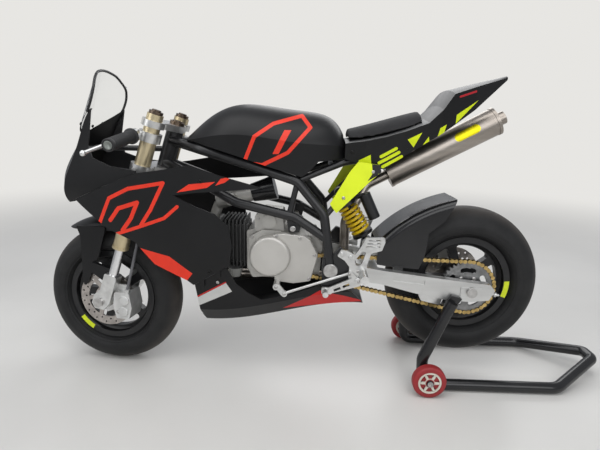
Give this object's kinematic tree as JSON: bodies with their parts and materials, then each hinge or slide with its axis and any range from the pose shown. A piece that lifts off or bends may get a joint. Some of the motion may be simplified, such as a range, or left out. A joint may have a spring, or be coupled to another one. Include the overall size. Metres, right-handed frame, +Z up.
{
  "type": "mini race motorcycle on a rear paddock stand",
  "caption": "Small single-cylinder track motorcycle with full race bodywork, clip-on bars and five-spoke wheels, rear wheel lifted by a tubular paddock stand.",
  "frame": {"origin": "on the floor under the middle of the whole object's length, on the bike's mid-plane", "axes": "+X from the front wheel towards the tail, +Y to the rider's right, +Z up"},
  "size_m": [1.7136, 0.5107, 0.881],
  "materials": {
    "black_body": "matte",
    "clear_screen": "clear",
    "seat_foam": "soft",
    "frame_black": "satin",
    "yellow_paint": "satin",
    "cast_alloy": "satin",
    "clamp_alloy": "polished",
    "fork_gold": "gloss",
    "chrome": "polished",
    "cap_bronze": "satin",
    "wheel_black": "satin",
    "tyre": "matte",
    "steel": "brushed",
    "chain_gold": "satin",
    "cylinder_dark": "matte",
    "titanium": "brushed",
    "rubber": "matte",
    "black_plastic": "gloss",
    "spring_yellow": "gloss",
    "stand_red": "matte"
  },
  "bodies": {
    "root": {"air_filter": "black_plastic", "belly_pan": "black_body", "carburettor": "cast_alloy", "chain": "chain_gold", "chain_guide": "clamp_alloy", "crankcase": "cast_alloy", "cylinder": "cylinder_dark", "cylinder_head": "cast_alloy", "engine_covers": "cast_alloy", "exhaust_header": "titanium", "foot_levers": "clamp_alloy", "foot_pegs": "clamp_alloy", "frame_cross_tubes": "frame_black", "frame_left_side": "frame_black", "frame_right_side": "frame_black", "front_sprocket": "steel", "head_tube": "frame_black", "hugger": "black_plastic", "left_side_fairing": "black_body", "nose_fairing": "black_body", "pivot_bolt": "steel", "rear_axle": "steel", "rear_caliper": "frame_black", "rearsets": "clamp_alloy", "right_side_fairing": "black_body", "seat_pad": "seat_foam", "shock_absorber": "frame_black", "shock_spring": "spring_yellow", "silencer": "titanium", "stand_pads": "rubber", "stand_tube": "frame_black", "strut_panels": "yellow_paint", "subframe": "frame_black", "swingarm": "clamp_alloy", "tail_unit": "black_body", "tank_cover": "black_body", "windscreen": "clear_screen"},
    "steering": {"fork_outer_tubes": "fork_gold", "fork_inner_tubes": "chrome", "fork_feet": "clamp_alloy", "triple_clamps": "clamp_alloy", "stem_and_fork_caps": "cap_bronze", "handlebars": "clamp_alloy", "grips": "rubber", "levers": "clamp_alloy", "front_caliper": "frame_black", "brake_hose": "rubber", "front_mudguard": "black_body", "front_axle": "steel"},
    "front_wheel": {"front_tyre": "tyre", "front_rim": "wheel_black", "front_brake_disc": "steel"},
    "rear_wheel": {"rear_tyre": "tyre", "rear_rim": "wheel_black", "rear_sprocket": "steel", "rear_brake_disc": "steel"},
    "stand_wheel_left": {"left_stand_wheel": "stand_red"},
    "stand_wheel_right": {"right_stand_wheel": "stand_red"}
  },
  "joints": [
    {"name": "steering_turn", "type": "hinge", "parent": "root", "child": "steering", "pos_m": [-0.60081, 0, 0.2135], "axis": [0.309, 0, 0.9511], "range_deg": [-17, 33]},
    {"name": "front_wheel_spin", "type": "hinge", "parent": "steering", "child": "front_wheel", "pos_m": [-0.64387, 0.00575, 0.21338], "axis": [0.1324, 0.9903, -0.043], "continuous": true},
    {"name": "rear_wheel_spin", "type": "hinge", "parent": "root", "child": "rear_wheel", "pos_m": [0.41575, 0, 0.2918], "axis": [0, 1, 0], "continuous": true},
    {"name": "stand_wheel_left_spin", "type": "hinge", "parent": "root", "child": "stand_wheel_left", "pos_m": [0.30375, -0.176, 0.047], "axis": [0, 1, 0], "continuous": true},
    {"name": "stand_wheel_right_spin", "type": "hinge", "parent": "root", "child": "stand_wheel_right", "pos_m": [0.30375, 0.176, 0.047], "axis": [0, 1, 0], "continuous": true}
  ]
}
